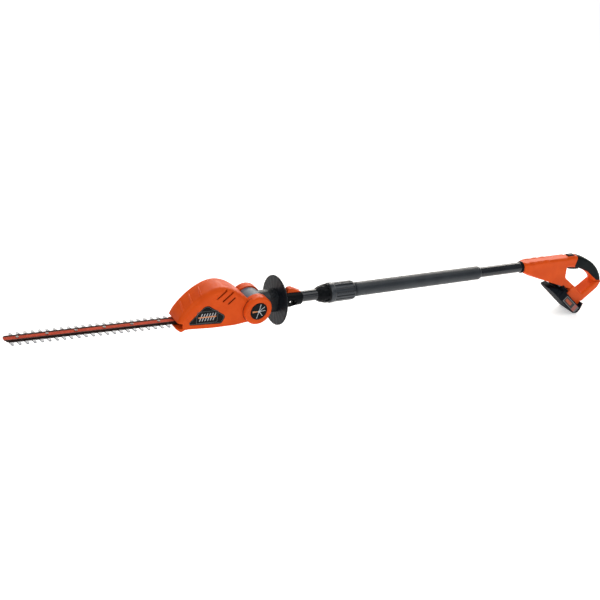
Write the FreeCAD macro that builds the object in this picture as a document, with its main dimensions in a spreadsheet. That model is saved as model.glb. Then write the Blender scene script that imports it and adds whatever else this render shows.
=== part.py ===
import FreeCAD, Part
import Sketcher
import math
import os
from FreeCAD import Placement, Rotation, Vector

# Pole hedge trimmer. Every piece is drawn along the pole: X runs from the blade's tip towards
# the rear handle, Z is up, and zero is the centre of the guard disc on the pole's axis. The
# placements at the end lift the whole tool so that its origin is the bottom centre of its box.

DIMENSIONS = {
    # pole
    "pole_radius": 15.9,
    "pole_bore": 14.3,
    "pole_front": 60.0,
    "pole_joint": 205.0,
    "joint_gap": 0.5,
    "pole_rear": 960.0,
    "spigot_front": 150.0,
    "spigot_rear": 290.0,
    "spigot_wall": 2.2,
    "slide_gap": 0.08,
    "lead_radius": 3.0,
    "foam_front": 258.0,
    "foam_rear": 718.0,
    "foam_radius": 21.0,
    # collar over the pole joint
    "cone_front": 132.0,
    "cone_rear": 170.0,
    "cone_nose": 18.6,
    "cone_base": 28.0,
    "sleeve_rear": 254.0,
    "sleeve_radius": 28.5,
    "sleeve_flutes": 16.0,
    # guard disc, neck and coupler
    "disc_radius": 70.5,
    "disc_thick": 3.0,
    "disc_dish": 5.0,
    "neck_radius": 33.0,
    "coupler_radius": 21.5,
    "coupler_rear": 80.0,
    "eye_along": 51.0,
    "eye_height": -12.5,
    "eye_radius": 4.5,
    "eye_web": 3.0,
    "eye_lug_bottom": -27.0,
    # head pivot
    "pivot_along": -77.15,
    "head_pitch": 1.46,
    "drum_radius": 37.5,
    "drum_half": 24.0,
    "lobe_radius": 41.5,
    "lobe_inner": 24.5,
    "lobe_outer": 50.0,
    "pivot_shaft_radius": 6.0,
    "bush_radius": 8.0,
    "running_gap": 0.05,
    "dial_radius": 25.0,
    "dial_recess": 8.0,
    "dial_proud": 1.5,
    "dial_travel": 4.0,
    # head casing
    "head_half": 38.0,
    "head_wall": 3.2,
    "head_round": 13.0,
    "mouth_low": -35.5,
    "mouth_high": -20.5,
    "mouth_half": 33.5,
    # cutting gear
    "blade_level": -28.5,
    "blade_thick": 1.9,
    "blade_gap": 0.1,
    "blade_tip": -759.0,
    "blade_body": 14.5,
    "tooth_reach": 30.4,
    "tooth_pitch": 19.05,
    "tooth_count": 23.0,
    "tooth_first": -749.4,
    "tooth_root": 10.0,
    "tooth_end": 5.5,
    "blade_rear": -196.0,
    "bar_tip": -765.0,
    "bar_half": 13.0,
    "bar_thick": 2.4,
    "bar_rear": -262.0,
    "bolt_first": -730.0,
    "bolt_pitch": 76.2,
    "bolt_count": 6.0,
    "bolt_radius": 2.5,
    "crank_along": -228.0,
    "crank_throw": 4.75,
    "eccentric_radius": 8.0,
    "gear_module": 1.0,
    "gear_teeth": 54.0,
    "pinion_teeth": 10.0,
    "gear_low": -21.5,
    "gear_high": -14.0,
    "motor_radius": 19.0,
    "motor_low": 2.0,
    "motor_high": 56.0,
    "motor_shaft": 2.5,
    # rear handle
    "handle_front": 887.0,
    "handle_top": 19.5,
    "front_half": 20.5,
    "grip_half": 17.5,
    "arm_half": 23.0,
    "handle_wall": 3.2,
    "rubber_thick": 2.4,
    # battery and its slope
    "slope": 39.3,
    "slope_along": 989.0,
    "slope_height": -64.0,
    "cradle_length": 74.0,
    "pack_half": 37.0,
    "pack_front": 75.0,
    "pack_rear": 201.0,
    "pack_height": 30.0,
    "pack_split": 16.0,
    "pack_wall": 2.6,
    "tongue_half": 20.0,
    "tongue_height": 42.0,
    "cell_radius": 9.15,
    "cell_length": 65.0,
    "cell_pitch": 19.2,
    # place of the whole tool, set once the pieces are built
    "shift_along": 0.0,
    "lift": 0.0,
}

document = FreeCAD.newDocument("pole_hedge_trimmer")
sheet = document.addObject("Spreadsheet::Sheet", "Dimensions")
for row, (alias, number) in enumerate(DIMENSIONS.items(), start=1):
    cell = f"A{row}"
    sheet.set(cell, repr(number))
    sheet.setAlias(cell, alias)
document.recompute()


class Size:
    """A number from the sheet together with the expression that produces it."""

    def __init__(self, value, text):
        self.value = value
        self.text = text

    def __add__(self, other):
        return combine(self, other, "+", lambda a, b: a + b)

    def __radd__(self, other):
        return combine(other, self, "+", lambda a, b: a + b)

    def __sub__(self, other):
        return combine(self, other, "-", lambda a, b: a - b)

    def __rsub__(self, other):
        return combine(other, self, "-", lambda a, b: a - b)

    def __mul__(self, other):
        return combine(self, other, "*", lambda a, b: a * b)

    def __rmul__(self, other):
        return combine(other, self, "*", lambda a, b: a * b)

    def __neg__(self):
        return combine(0.0, self, "-", lambda a, b: a - b)


def as_size(item):
    return item if isinstance(item, Size) else Size(float(item), f"({float(item)!r})")


def combine(left, right, sign, result):
    left, right = as_size(left), as_size(right)
    return Size(result(left.value, right.value), f"({left.text} {sign} {right.text})")


def size(alias):
    return Size(float(sheet.get(alias)), f"Dimensions.{alias}")


def number(alias):
    return float(sheet.get(alias))


def bind(owner, name, item):
    """Set a property from the sheet, or plainly where it is a fixed number."""
    owner.setExpression(name, as_size(item).text)


# ---------------------------------------------------------------- bodies made of sketches

PLANES = {
    "top": ("XY_Plane", 1),
    "side": ("XZ_Plane", -1),
    "front": ("YZ_Plane", 1),
}


def new_body(name):
    body = document.addObject("PartDesign::Body", name)
    body.Label = name
    return body


def draw_sketch(body, plane, loops, offset):
    """Sketch on an origin plane. A loop is a list of corners, or (centre, centre, radius)."""
    role = PLANES[plane][0]
    support = next(item for item in body.Origin.OriginFeatures if item.Role == role)
    sketch = body.newObject("Sketcher::SketchObject", f"{body.Name}_sketch")
    sketch.AttachmentSupport = [(support, "")]
    sketch.MapMode = "FlatFace"
    bind(sketch, ".AttachmentOffset.Base.z", offset)
    for loop in loops:
        if isinstance(loop, tuple):
            draw_circle(sketch, *loop)
        else:
            draw_polygon(sketch, loop)
    return sketch


def fix_point(sketch, edge, point, across, up):
    for direction, item in (("DistanceX", across), ("DistanceY", up)):
        item = as_size(item)
        if abs(item.value) < 1e-9:
            sketch.addConstraint(Sketcher.Constraint(direction, -1, 1, edge, point, 0.0))
            continue
        index = sketch.addConstraint(Sketcher.Constraint(direction, -1, 1, edge, point, item.value))
        bind(sketch, f"Constraints[{index}]", item)


def draw_circle(sketch, across, up, radius):
    centre = Vector(as_size(across).value, as_size(up).value, 0)
    edge = sketch.addGeometry(Part.Circle(centre, Vector(0, 0, 1), as_size(radius).value))
    index = sketch.addConstraint(Sketcher.Constraint("Radius", edge, as_size(radius).value))
    bind(sketch, f"Constraints[{index}]", radius)
    fix_point(sketch, edge, 3, across, up)


def draw_polygon(sketch, corners):
    points = [Vector(as_size(a).value, as_size(b).value, 0) for a, b in corners]
    first = sketch.GeometryCount
    count = len(points)
    for i in range(count):
        sketch.addGeometry(Part.LineSegment(points[i], points[(i + 1) % count]))
    for i in range(count):
        after = first + (i + 1) % count
        sketch.addConstraint(Sketcher.Constraint("Coincident", first + i, 2, after, 1))
    for i, (across, up) in enumerate(corners):
        fix_point(sketch, first + i, 1, across, up)


def extrude(body, plane, loops, low, high, kind="PartDesign::Pad"):
    """Pad or pocket a sketch from one coordinate to another along the plane's own axis."""
    sense = PLANES[plane][1]
    offset = low if sense > 0 else -as_size(high)
    sketch = draw_sketch(body, plane, loops, offset)
    before = body.Shape.Volume if kind == "PartDesign::Pocket" else None
    feature = body.newObject(kind, f"{body.Name}_step")
    feature.Profile = sketch
    bind(feature, "Length", as_size(high) - low)
    if kind == "PartDesign::Pocket":
        feature.Reversed = True
    body.Tip = feature
    document.recompute()
    if before is not None and not body.Shape.Volume < before:
        raise ValueError(f"{body.Name}: a pocket removed nothing")
    return feature


def cut_out(body, plane, loops, low, high):
    return extrude(body, plane, loops, low, high, "PartDesign::Pocket")


def turn(body, profile):
    """Revolve a profile of (along, radius) corners about the pole's axis."""
    sketch = draw_sketch(body, "side", [profile], 0.0)
    feature = body.newObject("PartDesign::Revolution", f"{body.Name}_turn")
    feature.Profile = sketch
    feature.ReferenceAxis = (sketch, ["H_Axis"])
    feature.Angle = 360.0
    body.Tip = feature
    document.recompute()
    return feature


def repeat(body, features, length, count):
    """Repeat features along X over a length."""
    pattern = body.newObject("PartDesign::LinearPattern", f"{body.Name}_row")
    axis = next(item for item in body.Origin.OriginFeatures if item.Role == "X_Axis")
    pattern.Originals = features
    pattern.Direction = (axis, [""])
    bind(pattern, "Length", length)
    bind(pattern, "Occurrences", count)
    body.Tip = pattern
    document.recompute()
    return pattern


def repeat_round(body, features, count):
    """Repeat features around the pole's axis."""
    pattern = body.newObject("PartDesign::PolarPattern", f"{body.Name}_ring")
    axis = next(item for item in body.Origin.OriginFeatures if item.Role == "X_Axis")
    pattern.Originals = features
    pattern.Axis = (axis, [""])
    pattern.Angle = 360.0
    bind(pattern, "Occurrences", count)
    body.Tip = pattern
    document.recompute()
    return pattern


def soften(body, radius, wanted):
    """Fillet the edges that a test picks out."""
    base = body.Tip
    names = [f"Edge{i}" for i, edge in enumerate(base.Shape.Edges, start=1) if wanted(edge)]
    feature = body.newObject("PartDesign::Fillet", f"{body.Name}_round")
    feature.Base = (base, names)
    feature.Radius = radius
    body.Tip = feature
    document.recompute()
    return feature


def rectangle(across_low, across_high, up_low, up_high):
    return [(across_low, up_low), (across_high, up_low), (across_high, up_high), (across_low, up_high)]


def turned(name, profile):
    body = new_body(name)
    turn(body, profile)
    return body


def ring(low, high, inner, outer):
    return [(low, inner), (high, inner), (high, outer), (low, outer)]


def block(name, along, across, up):
    """A box from ranges along X, Y and Z."""
    body = new_body(name)
    extrude(body, "side", [rectangle(*along, *up)], *across)
    return body


def upright(name, along, radius, low, high, bore=None):
    """A round piece standing on the head's centre line."""
    body = new_body(name)
    loops = [(along, 0.0, radius)] + ([(along, 0.0, bore)] if bore is not None else [])
    extrude(body, "top", loops, low, high)
    return body


def crosswise(name, along, up, radius, low, high, bore=None):
    """A round piece lying across the tool."""
    body = new_body(name)
    loops = [(along, up, radius)] + ([(along, up, bore)] if bore is not None else [])
    extrude(body, "side", loops, low, high)
    return body


# ------------------------------------------------------------- free shapes made in code

def feature(name, shape):
    """Piece from a finished shape; a compound keeps the place the shape already has."""
    piece = document.addObject("Part::Feature", name)
    piece.Label = name
    piece.Shape = shape if shape.Placement.isIdentity() else Part.makeCompound([shape])
    return piece


def rounded_outline(corners):
    """Closed wire in the XZ plane from (along, up, radius) corners joined by tangent arcs."""
    edges = []
    count = len(corners)
    ends = []
    for i, (along, up, radius) in enumerate(corners):
        here = Vector(along, 0, up)
        before = Vector(corners[i - 1][0], 0, corners[i - 1][1])
        after = Vector(corners[(i + 1) % count][0], 0, corners[(i + 1) % count][1])
        inward = (before - here).normalize()
        outward = (after - here).normalize()
        half = inward.getAngle(outward) / 2
        if radius <= 0:
            ends.append((here, here, None))
            continue
        reach = radius / math.tan(half)
        middle = (inward + outward).normalize()
        top = here + middle * (radius / math.sin(half) - radius)
        ends.append((here + inward * reach, here + outward * reach, top))
    for i, (start, stop, top) in enumerate(ends):
        if top is not None:
            edges.append(Part.Arc(start, top, stop).toShape())
        following = ends[(i + 1) % count][0]
        if (following - stop).Length > 1e-6:
            edges.append(Part.LineSegment(stop, following).toShape())
    return Part.Wire(edges)


def drawn_in(points, inset):
    """Points moved towards the right of their own path."""
    moved = []
    for i, point in enumerate(points):
        along = points[min(i + 1, len(points) - 1)] - points[max(i - 1, 0)]
        moved.append(point + Vector(along.z, 0, -along.x).normalize() * inset)
    return moved


def slab(wire, low, high):
    """Solid from a wire in the XZ plane, between two places across the tool."""
    face = Part.Face(wire)
    face.translate(Vector(0, low, 0))
    solid = face.extrude(Vector(0, high - low, 0))
    return solid


def box(along, across, up):
    lengths = [high - low for low, high in (along, across, up)]
    return Part.makeBox(*lengths, Vector(along[0], across[0], up[0]))


def disc(along, up, radius, low, high):
    """Cylinder lying across the tool."""
    return Part.makeCylinder(radius, high - low, Vector(along, low, up), Vector(0, 1, 0))


def largest(shape):
    """The biggest solid of a shape, without the crumbs that a cut can leave."""
    return max(shape.Solids, key=lambda solid: solid.Volume)


def soften_sides(solid, radius, half, wanted=None):
    """Round the long edges where a slab's two side faces meet its rim."""
    picked = [edge for edge in solid.Edges
              if all(abs(abs(vertex.Point.y) - half) < 1e-6 for vertex in edge.Vertexes)
              and edge.BoundBox.YLength < 1e-3
              and (wanted is None or wanted(edge.CenterOfMass))]
    return solid.makeFillet(radius, picked)


def coil(radius, wire_radius, height, turns, base, direction):
    """Helical spring with its axis from a base point along a direction."""
    pitch = (height - 2 * wire_radius) / turns
    helix = Part.makeHelix(pitch, pitch * turns, radius)
    section = Part.Wire(Part.Circle(Vector(radius, 0, 0), Vector(0, 1, 0), wire_radius).toShape())
    spring = helix.makePipeShell([section], True, True)
    spring.translate(Vector(0, 0, wire_radius))
    turned_to = Placement(base, Rotation(Vector(0, 0, 1), direction))
    spring.Placement = turned_to.multiply(spring.Placement)
    return spring


def screws(places, head_radius, head_thick, shank_radius, shank_length):
    """Screws across the tool as separate solids: each place is (along, head's outer face, up)."""
    solids = []
    for along, face, up in places:
        inward = -1 if face > 0 else 1
        head = Part.makeCylinder(head_radius, head_thick, Vector(along, face, up),
                                 Vector(0, inward, 0))
        socket = Part.makeCylinder(head_radius * 0.45, head_thick * 0.5, Vector(along, face, up),
                                   Vector(0, inward, 0))
        shank = Part.makeCylinder(shank_radius, shank_length + head_thick, Vector(along, face, up),
                                  Vector(0, inward, 0))
        solids.append(head.fuse(shank).cut(socket))
    return Part.makeCompound(solids)


def screw_wells(places, head_radius, head_thick):
    """Open wells from the middle of each screw's head out through the casing."""
    wells = []
    for along, face, up in places:
        low = face - math.copysign(head_thick / 2, face)
        wells.append(disc(along, up, head_radius, *sorted((low, face + math.copysign(9.0, face)))))
    return wells


# ----------------------------------------------------------------------- cutting blades

def head_crown(inset):
    """Side view of the casing's hump, running down past the base at both ends."""
    crown = [(-312, -60), (-311, -36), (-306, -14), (-287.5, 15.5), (-260.5, 43), (-230, 63.5), (-196, 73.8),
             (-158, 67), (-120, 44), (-98, 25), (-92, -60)]
    points = drawn_in([Vector(along, 0, up) for along, up in crown], inset)
    smooth = Part.BSplineCurve()
    smooth.interpolate(points)
    return Part.Wire([smooth.toShape(), Part.LineSegment(points[-1], points[0]).toShape()])


def head_base(inset):
    """Everything above the casing's underside, with its rounded lip under the mouth."""
    return slab(rounded_outline([(-340, 120, 0), (-60, 120, 0), (-60, -36 + inset, 0), (-104, -36 + inset, 8),
                                 (-140, -41 + inset, 20), (-207, -41.8 + inset, 60), (-276, -38.4 + inset, 20),
                                 (-288, -39 + inset, 6), (-299, -45 + inset, 7), (-311, -38, 4),
                                 (-340, -30, 0)]), -60, 60)


def blade(name, low, high):
    """A toothed strip with a yoke round the eccentric and slots for the bar's bolts."""
    body = new_body(name)
    rear = size("blade_rear")
    half = size("blade_body")
    tip = size("blade_tip")
    extrude(body, "top", [[(tip, -half + 6), (tip + 9, -half), (rear - 60, -half), (rear - 52, -27.0),
                           (rear - 6, -27.0), (rear, -21.0), (rear, 21.0), (rear - 6, 27.0),
                           (rear - 52, 27.0), (rear - 60, half), (tip + 9, half), (tip, half - 6)]],
            low, high)
    first = size("tooth_first")
    reach = size("tooth_reach")
    root = size("tooth_root") * 0.5
    end = size("tooth_end") * 0.5
    teeth = []
    for side, shift in ((-1.0, 0.0), (1.0, 9.1)):
        inner = side * (half - 1)
        outer = side * reach
        middle = first + shift
        teeth.append([(middle - root, inner), (middle + root, inner), (middle + end, outer),
                      (middle - end, outer)])
    row = extrude(body, "top", teeth, low, high)
    count = size("tooth_count")
    repeat(body, [row], size("tooth_pitch") * (count - 1), count)
    slot_half = size("bolt_radius") + 0.6
    run = size("crank_throw") + 1.0
    place = size("bolt_first")
    slot = cut_out(body, "top", [rectangle(place - slot_half - run, place + slot_half + run,
                                           -slot_half, slot_half)], low - 1, high + 1)
    count = size("bolt_count")
    repeat(body, [slot], size("bolt_pitch") * (count - 1), count)
    crank = size("crank_along")
    along = size("eccentric_radius") + 2 * size("crank_throw") + 1.0
    across = size("eccentric_radius") + size("crank_throw") + 1.0
    cut_out(body, "top", [rectangle(crank - along, crank + along, -across, across)], low - 1, high + 1)
    return body


def blades():
    level = size("blade_level")
    gap = size("blade_gap")
    thick = size("blade_thick")
    return [blade("upper_blade", level + gap, level + gap + thick),
            blade("lower_blade", level - gap - thick, level - gap)]


def blade_bar():
    """Flat bar with a rounded nose that the two blades slide under."""
    body = new_body("blade_bar")
    low = size("blade_level") + 2 * size("blade_gap") + size("blade_thick")
    tip = size("bar_tip")
    half = size("bar_half")
    rear = size("bar_rear")
    extrude(body, "top", [[(tip, -half * 0.45), (tip + 2.5, -half * 0.8), (tip + 7.5, -half),
                           (rear, -half), (rear, half), (tip + 7.5, half),
                           (tip + 2.5, half * 0.8), (tip, half * 0.45)]],
            low, low + size("bar_thick"))
    place = size("bolt_first")
    hole = cut_out(body, "top", [(place, 0.0, size("bolt_radius"))],
                   low - 1, low + size("bar_thick") + 1)
    count = size("bolt_count")
    repeat(body, [hole], size("bolt_pitch") * (count - 1), count)
    return body


def blade_bolts():
    """Bolts through the bar and the blades' slots, and the nuts under them."""
    radius = number("bolt_radius")
    top = number("blade_level") + 2 * number("blade_gap") + number("blade_thick") + number("bar_thick")
    bottom = number("blade_level") - number("blade_thick") - 2 * number("blade_gap")
    bolts, nuts = [], []
    for i in range(round(number("bolt_count"))):
        along = number("bolt_first") + i * number("bolt_pitch")
        foot = bottom - 3.4
        shank = Part.makeCylinder(radius, top - foot, Vector(along, 0, foot))
        head = Part.makeCylinder(4.2, 1.6, Vector(along, 0, top))
        crown = head.makeFillet(0.7, [head.Edges[0]])
        socket = Part.makeCylinder(1.5, 1.0, Vector(along, 0, top + 0.8))
        bolts.append(shank.fuse(crown).cut(socket).removeSplitter())
        corners = [Vector(along + 4.4 * math.cos(math.pi * k / 3), 4.4 * math.sin(math.pi * k / 3),
                          foot + 0.2) for k in range(7)]
        nut = Part.Face(Part.makePolygon(corners)).extrude(Vector(0, 0, bottom - foot - 0.2))
        nuts.append(nut.cut(Part.makeCylinder(radius, 10, Vector(along, 0, foot - 1))))
    return [feature("blade_bolts", Part.makeCompound(bolts)),
            feature("blade_nuts", Part.makeCompound(nuts))]


# ------------------------------------------------------------------------ drive gear train

def spur_gear(along, teeth, low, high, turn_by):
    """Spur gear with straight flanks, cut shallow so that it runs with backlash."""
    module = number("gear_module")
    pitch_radius = module * teeth / 2
    tip = pitch_radius + 0.75 * module
    root = pitch_radius - 1.05 * module
    tooth = math.pi / teeth
    corners = []
    for i in range(teeth):
        centre = turn_by + 2 * math.pi * i / teeth
        for radius, spread in ((root, -0.62), (tip, -0.24), (tip, 0.24), (root, 0.62)):
            angle = centre + spread * tooth
            corners.append(Vector(along + radius * math.cos(angle), radius * math.sin(angle), low))
    outline = Part.makePolygon(corners + corners[:1])
    return Part.Face(outline).extrude(Vector(0, 0, high - low))


def crank_gear():
    """Large gear whose two opposed eccentrics drive the blades."""
    along = number("crank_along")
    low, high = number("gear_low"), number("gear_high")
    gear = spur_gear(along, round(number("gear_teeth")), low, high, math.pi / number("gear_teeth"))
    throw = number("crank_throw")
    radius = number("eccentric_radius")
    level = number("blade_level")
    upper = Part.makeCylinder(radius, low - level, Vector(along, throw, level))
    lower = Part.makeCylinder(radius, 3.2, Vector(along, -throw, level - 3.2))
    bore = Part.makeCylinder(3.0 + number("running_gap"), 40, Vector(along, 0, level - 10))
    lightening = [Part.makeCylinder(4.5, 3.0, Vector(along + 18.5 * math.cos(k * math.pi / 3),
                                                     18.5 * math.sin(k * math.pi / 3), high - 3.0))
                  for k in range(6)]
    return feature("crank_gear", gear.fuse([upper, lower]).cut([bore] + lightening))


def pinion():
    along = number("crank_along") + number("gear_module") * (number("gear_teeth") + number("pinion_teeth")) / 2
    gear = spur_gear(along, round(number("pinion_teeth")), number("gear_low"), number("gear_high"), math.pi)
    bore = Part.makeCylinder(number("motor_shaft"), 40, Vector(along, 0, number("gear_low") - 5))
    return feature("motor_pinion", gear.cut(bore))


def motor_place():
    return size("crank_along") + size("gear_module") * (size("gear_teeth") + size("pinion_teeth")) * 0.5


def drive():
    motor = motor_place()
    low = size("motor_low")
    high = size("motor_high")
    radius = size("motor_radius")
    shaft = size("motor_shaft")
    can = upright("motor_can", motor, radius, low, high - 8)
    cut_out(can, "top", [(motor, 0.0, radius - 1.6)], low + 2.0, high - 7)
    cut_out(can, "top", [(motor, 0.0, shaft + 1.5)], low - 1, low + 3)
    cap = upright("motor_end_cap", motor, radius, high - 8, high)
    cut_out(cap, "top", [(motor, 0.0, shaft + 0.05)], high - 9, high - 2)
    soften(cap, 1.5, lambda edge: edge.BoundBox.ZMin > number("motor_high") - 1e-3)
    armature = upright("motor_armature", motor, radius - 3.5, low + 6, high - 12, shaft)
    spindle = upright("motor_shaft", motor, shaft, size("gear_low") - 1.5, high - 2.5)
    plate = new_body("gear_plate")
    crank = size("crank_along")
    extrude(plate, "top", [rectangle(crank - 32, motor + 24, -26.0, 26.0)], -10.0, -5.0)
    extrude(plate, "top", [(motor, 0.0, radius - 3)], -5.0, 1.8)
    cut_out(plate, "top", [(motor, 0.0, size("bush_radius") + 1.5)], -11.0, 3.0)
    cut_out(plate, "top", [(crank, 0.0, 3.0)], -11.0, -4.0)
    pin = upright("gear_pin", crank, 3.0, size("blade_level") - 5.5, -2.0)
    seat = upright("motor_bush", motor, size("bush_radius") + 1.5, -10.0, -2.0, shaft + size("running_gap"))
    return [can, cap, armature, spindle, plate, pin, seat, crank_gear(), pinion()]


# -------------------------------------------------------------------------- head casing

VENTS = ((-204, 43, -176, 67), (-185, 34, -156, 60), (-168, 25, -149, 43))


def vent_slot(start_along, start_up, end_along, end_up):
    """Slanted slot through the casing's side."""
    run = Vector(end_along - start_along, 0, end_up - start_up)
    side = Vector(-run.z, 0, run.x).normalize() * 2.4
    start = Vector(start_along, 0, start_up)
    corners = [start + side, start + run + side, start + run - side, start - side]
    wire = Part.makePolygon(corners + corners[:1])
    return slab(wire, -60, 60)


def head_badges():
    """Rounded three-sided plates set into both sides of the casing."""
    half = number("head_half")
    corners = [(-285, -26, 6), (-233, 31, 16), (-171, -9, 10), (-182, -31, 7)]
    plates = []
    for low, high in ((-half - 0.5, -half + 1.0), (half - 1.0, half + 0.5)):
        plates.append(slab(rounded_outline(corners), low, high))
    return feature("head_badges", Part.makeCompound(plates))


def head_shells(badges):
    """Two casing halves that meet on the centre plane and carry the pivot's lobes."""
    half = number("head_half")
    wall = number("head_wall")
    body = slab(head_crown(0.0), -half, half)
    crown_edges = [edge for edge in body.Edges if isinstance(edge.Curve, Part.BSplineCurve)]
    body = body.makeFillet(number("head_round"), crown_edges).common(head_base(0.0))
    pivot = number("pivot_along")
    for sign in (-1, 1):
        near, far = sorted((sign * number("lobe_inner"), sign * number("lobe_outer")))
        lobe = disc(pivot, 0, number("lobe_radius"), near, far)
        outer = [edge for edge in lobe.Edges
                 if isinstance(edge.Curve, Part.Circle) and abs(edge.Curve.Center.y) > 40]
        body = body.fuse(lobe.makeFillet(5.0, outer))
    between = (-number("lobe_inner"), number("lobe_inner"))
    swing = pivot - number("neck_radius") - 1.5
    body = body.cut([disc(pivot, 0, number("drum_radius") + 1.2, *between), box((swing, 0), between, (-100, 100))])
    rounding = number("head_round")
    cavity = box((-286, -124), (-60, 60), (-60, 90)).common(head_base(wall))
    wide = slab(head_crown(rounding), -half + wall, half - wall).common(cavity)
    tall = slab(head_crown(wall), -half + rounding, half - rounding).common(cavity)
    body = body.cut([wide, tall])
    mouth = [box((-400, -281), (-number("mouth_half"), number("mouth_half")),
                 (number("mouth_low"), number("mouth_high"))),
             box((-400, -295), (-60, 60), (number("mouth_low"), number("mouth_high")))]
    body = body.cut(mouth)
    body = body.cut([vent_slot(*vent) for vent in VENTS])
    recess = [disc(pivot, 0, number("dial_radius") + 0.6, -number("lobe_outer") - 1,
                   -number("lobe_outer") + number("dial_recess") + number("dial_travel")),
              disc(pivot, 0, number("dial_radius") - 5, number("lobe_outer") - 6,
                   number("lobe_outer") + 1),
              disc(pivot, 0, number("pivot_shaft_radius"), -60, 60)]
    body = body.cut(recess).cut(badges.Shape)
    halves = []
    for name, across in (("head_shell_near", (-70, 0)), ("head_shell_far", (0, 70))):
        shape = body.common(box((-400, 0), across, (-90, 120)))
        halves.append(feature(name, shape))
    return halves


HEAD_SCREWS = ((-260, 20), (-220, 47), (-131, 27), (-118, -24), (-250, -32.5))


def pivot_parts():
    pivot = size("pivot_along")
    outer = size("lobe_outer")
    shaft = crosswise("pivot_shaft", pivot, 0.0, size("pivot_shaft_radius"), -30.0, outer - 8)
    cap = crosswise("pivot_cap", pivot, 0.0, size("dial_radius") - 5.2, outer - 6, outer - 1)
    soften(cap, 1.2, lambda edge: edge.BoundBox.YMin > number("lobe_outer") - 1.1)
    face = -outer - size("dial_proud")
    dial = crosswise("pivot_lock_button", pivot, 0.0, size("dial_radius"), face, face + 7)
    soften(dial, 1.5, lambda edge: edge.BoundBox.YMax < -number("lobe_outer"))
    low = -number("lobe_outer") - number("dial_proud") + 7.0
    reach = number("dial_recess") + number("dial_travel") + number("dial_proud") - 7.0
    spring = feature("pivot_lock_spring",
                     coil(9.0, 0.7, reach, 3, Vector(number("pivot_along"), low, 0), Vector(0, 1, 0)))
    return [shaft, cap, dial, spring]


# ------------------------------------------------------------------ knuckle and coupler

def knuckle():
    """Drum that the head turns on, with its finned neck."""
    pivot = number("pivot_along")
    half = number("drum_half")
    drum = disc(pivot, 0, number("drum_radius"), -half, half)
    neck_radius = number("neck_radius")
    neck = Part.makeCylinder(neck_radius, -pivot - 4, Vector(pivot, 0, 0), Vector(1, 0, 0))
    grooves = []
    for i in range(5):
        start = -28 + i * 4.6
        ring_out = Part.makeCylinder(neck_radius + 5, 2.2, Vector(start, 0, 0), Vector(1, 0, 0))
        ring_in = Part.makeCylinder(neck_radius - 4, 2.2, Vector(start, 0, 0), Vector(1, 0, 0))
        grooves.append(ring_out.cut(ring_in))
    neck = neck.common(box((pivot, -4), (-half, half), (-60, 60))).cut(grooves)
    bore = disc(pivot, 0, number("bush_radius"), -60, 60)
    return feature("pivot_knuckle", drum.fuse(neck).cut(bore).removeSplitter())


def guard_disc():
    rim = size("disc_radius")
    thick = size("disc_thick")
    dish = size("disc_dish")
    hub = size("coupler_radius")
    profile = [(-4.0, 0.0), (4.0, 0.0), (4.0, hub + 6), (0.0, rim - 4), (2.0, rim - 4), (2.0, rim - 1),
               (1.0, rim), (-2.0, rim), (-3.0, rim - 2), (-thick, rim - 5), (1.5 - dish, hub + 8),
               (-4.0, hub + 6)]
    return turned("guard_disc", profile)


def coupler():
    """Socket behind the disc with a hanging eye in a thin web under it."""
    radius = size("coupler_radius")
    rear = size("coupler_rear")
    body = turned("pole_coupler", [(4.0, 0.0), (rear, 0.0), (rear, radius - 2), (rear - 3, radius + 0.3),
                                   (46.0, radius + 1.5), (10.0, radius + 1.5), (4.0, radius + 4)])
    web = size("eye_web")
    bottom = size("eye_lug_bottom")
    extrude(body, "side", [[(30.0, bottom + 4), (40.0, bottom), (52.0, bottom), (66.0, bottom + 3),
                            (78.0, bottom + 12), (78.0, -4.0), (30.0, -4.0)]], -web, web)
    front = size("pole_front")
    for low, high in ((-40.0, -web), (web, 40.0)):
        cut_out(body, "side", [rectangle(28.0, front - 1, -40.0, 4.0)], low, high)
    cut_out(body, "side", [(size("eye_along"), size("eye_height"), size("eye_radius"))], -web - 1, web + 1)
    cut_out(body, "front", [(0.0, 0.0, size("pole_radius") + size("running_gap"))], front, rear + 1)
    cut_out(body, "side", [[(28.0, 12.0), (82.0, 12.0), (82.0, 40.0), (28.0, 40.0)]], -9.0, 9.0)
    return body


def latch_parts():
    """Wedge latch on top of the coupler, its pin and its spring."""
    corners = [(31, 15, 2), (34, 33, 5), (46, 34, 8), (62, 27, 6), (76, 20, 2), (75, 16.9, 1), (57, 16.9, 2),
               (50, 14.5, 2)]
    wedge = slab(rounded_outline(corners), -8, 8)
    pin_hole = disc(68, 19.2, 1.2 + number("running_gap"), -20, 20)
    latch = feature("release_latch", wedge.cut(pin_hole))
    pin = crosswise("latch_pin", 68.0, 19.2, 1.2, -9.0, 9.0)
    spring = feature("latch_spring", coil(3.0, 0.35, 1.9, 1, Vector(42, 0, 12.3), Vector(0, 0, 1)))
    return [latch, pin, spring]


# --------------------------------------------------------------------------------- pole

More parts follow.
